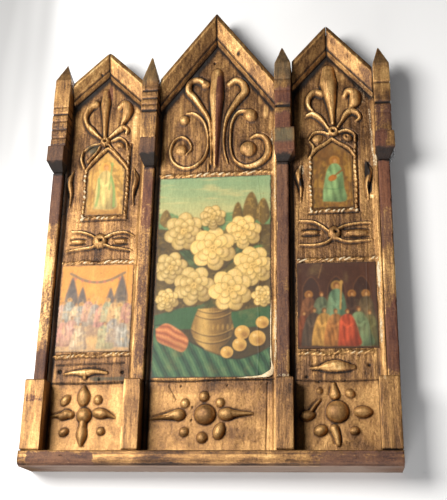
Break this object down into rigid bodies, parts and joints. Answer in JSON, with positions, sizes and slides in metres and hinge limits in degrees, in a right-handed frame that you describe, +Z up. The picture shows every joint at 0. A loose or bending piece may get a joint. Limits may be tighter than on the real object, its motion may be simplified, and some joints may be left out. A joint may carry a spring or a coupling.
{
  "type": "triptych altarpiece",
  "caption": "Small standing devotional triptych: a plinth and back board carry gabled bays of carved, gilded relief, pointed pillars and pasted pictures.",
  "frame": {"origin": "middle of the part's box on the surface that it stands on", "axes": "+Z up, -Y towards the viewer of the front, +X to that viewer's right"},
  "size_m": [0.296, 0.036, 0.4024],
  "materials": {
    "gilt_wood": "worn gold paint over red-brown ground on carved wood",
    "gilt_relief": "antiqued gold paint on carved and cast relief, dark in the hollows",
    "worn_bole_wood": "purple-brown ground colour with the gold mostly rubbed away",
    "bare_wood": "bare aged grey-brown wood",
    "picture_paper": "printed paper pasted down, varnished and yellowed, lifting at a corner"
  },
  "bodies": {
    "root": {"plinth": "worn_bole_wood", "back_board": "bare_wood", "pedestal_1": "gilt_wood", "shaft_1": "gilt_wood", "pinnacle_1": "worn_bole_wood", "pedestal_2": "gilt_wood", "shaft_2": "gilt_wood", "pinnacle_2": "worn_bole_wood", "pedestal_3": "gilt_wood", "shaft_3": "gilt_wood", "pinnacle_3": "worn_bole_wood", "pedestal_4": "gilt_wood", "shaft_4": "gilt_wood", "pinnacle_4": "worn_bole_wood", "relief_panel_left": "gilt_relief", "rake_left_a": "gilt_wood", "rake_left_b": "gilt_wood", "picture_left": "picture_paper", "relief_panel_centre": "gilt_relief", "rake_centre_a": "gilt_wood", "rake_centre_b": "gilt_wood", "picture_centre": "picture_paper", "relief_panel_right": "gilt_relief", "rake_right_a": "gilt_wood", "rake_right_b": "gilt_wood", "picture_right": "picture_paper", "window_picture_left": "picture_paper", "window_picture_right": "picture_paper"}
  },
  "joints": []
}
